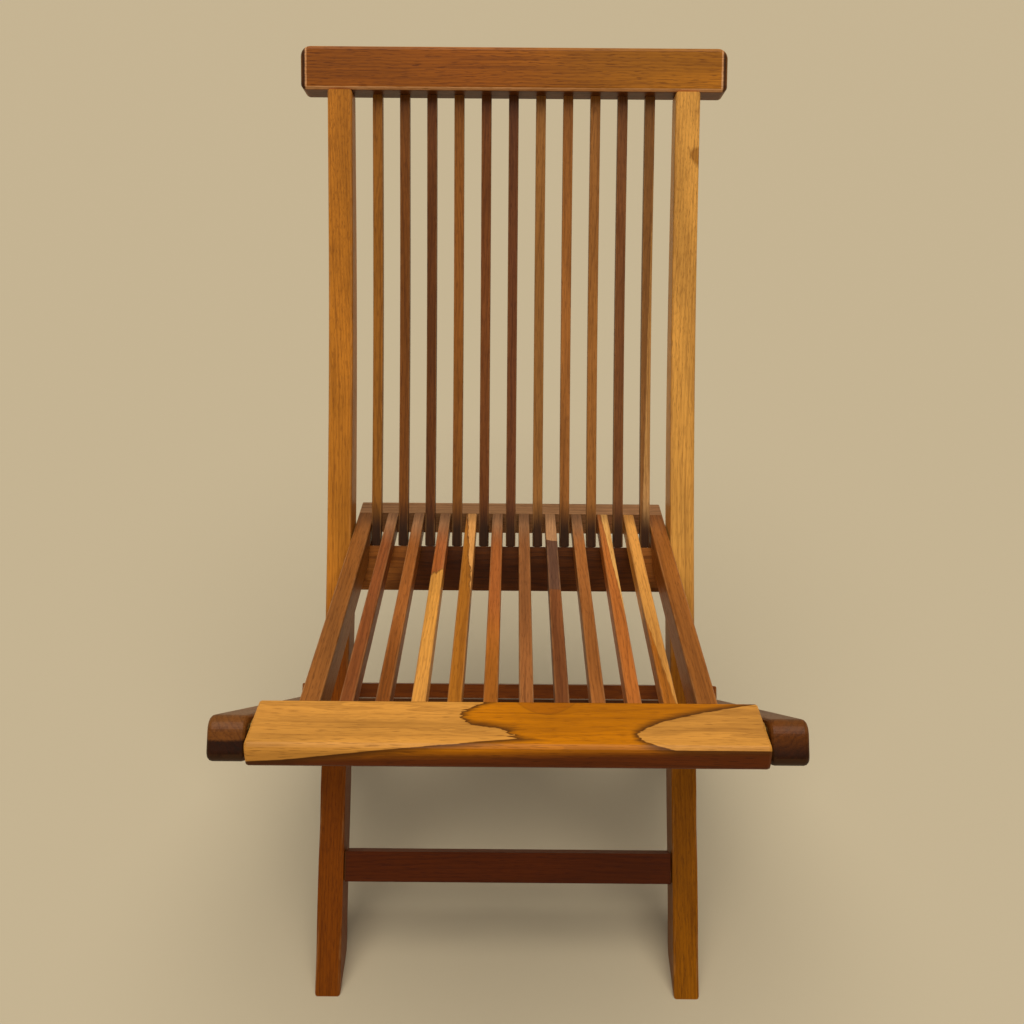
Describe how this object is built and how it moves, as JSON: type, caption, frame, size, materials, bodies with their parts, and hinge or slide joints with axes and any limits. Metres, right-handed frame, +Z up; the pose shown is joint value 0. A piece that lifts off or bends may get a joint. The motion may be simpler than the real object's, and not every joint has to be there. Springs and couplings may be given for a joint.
{
  "type": "folding chair",
  "caption": "Folding slatted teak chair without arms: curved stiles form back posts and front legs, straight rear legs cross them, slatted seat folds up through the back",
  "frame": {"origin": "bottom centre of the bounding box, on the floor between the four feet", "axes": "+X to the right as seen from the front, +Y to the back of the chair, +Z up"},
  "size_m": [0.488, 0.6812, 0.8427],
  "materials": {
    "teak_orange": "satin varnish",
    "teak_gold": "satin varnish",
    "teak_olive": "satin varnish",
    "teak_brown": "satin varnish",
    "teak_dark": "satin varnish",
    "teak_grey": "satin varnish, weathered",
    "brass": "brass-plated steel"
  },
  "bodies": {
    "back_frame": {"stile_left": "teak_gold", "stile_right": "teak_gold", "top_rail": "teak_orange", "lower_back_rail": "teak_dark", "front_stretcher": "teak_dark", "back_slat_01": "teak_olive", "back_slat_02": "teak_brown", "back_slat_03": "teak_dark", "back_slat_04": "teak_olive", "back_slat_05": "teak_dark", "back_slat_06": "teak_dark", "back_slat_07": "teak_olive", "back_slat_08": "teak_brown", "back_slat_09": "teak_olive", "back_slat_10": "teak_dark", "back_slat_11": "teak_olive", "crossing_bolt_left": "brass", "crossing_bolt_right": "brass", "crossing_spacer_left": "brass", "crossing_spacer_right": "brass", "crossing_nut_left": "brass", "crossing_nut_right": "brass"},
    "rear_legs": {"rear_leg_left": "teak_brown", "rear_leg_right": "teak_brown", "stop_bar": "teak_dark", "rear_stretcher": "teak_dark", "stop_bar_screw_left_1": "brass", "stop_bar_screw_left_2": "brass", "stop_bar_screw_right_1": "brass", "stop_bar_screw_right_2": "brass"},
    "seat": {"seat_front_rail": "teak_gold", "seat_rear_rail": "teak_grey", "seat_side_rail_left": "teak_brown", "seat_side_rail_right": "teak_brown", "seat_slat_01": "teak_brown", "seat_slat_02": "teak_brown", "seat_slat_03": "teak_gold", "seat_slat_04": "teak_gold", "seat_slat_05": "teak_brown", "seat_slat_06": "teak_brown", "seat_slat_07": "teak_brown", "seat_slat_08": "teak_brown", "seat_slat_09": "teak_orange", "seat_slat_10": "teak_gold", "seat_bolt_left": "brass", "seat_bolt_right": "brass", "seat_barrel_nut_left": "brass", "seat_barrel_nut_right": "brass", "seat_washer_left": "brass", "seat_washer_right": "brass"}
  },
  "joints": [
    {"name": "leg_fold", "type": "hinge", "parent": "back_frame", "child": "rear_legs", "pos_m": [0, -0.07436, 0.21209], "axis": [-1, 0, 0], "range_deg": [0, 77]},
    {"name": "seat_fold", "type": "hinge", "parent": "rear_legs", "child": "seat", "pos_m": [0, -0.30383, 0.41757], "axis": [1, 0, 0], "range_deg": [0, 129.4]}
  ],
  "couplings": [
    {"joint": "seat_fold", "follows": "leg_fold", "ratio": 1.68}
  ]
}
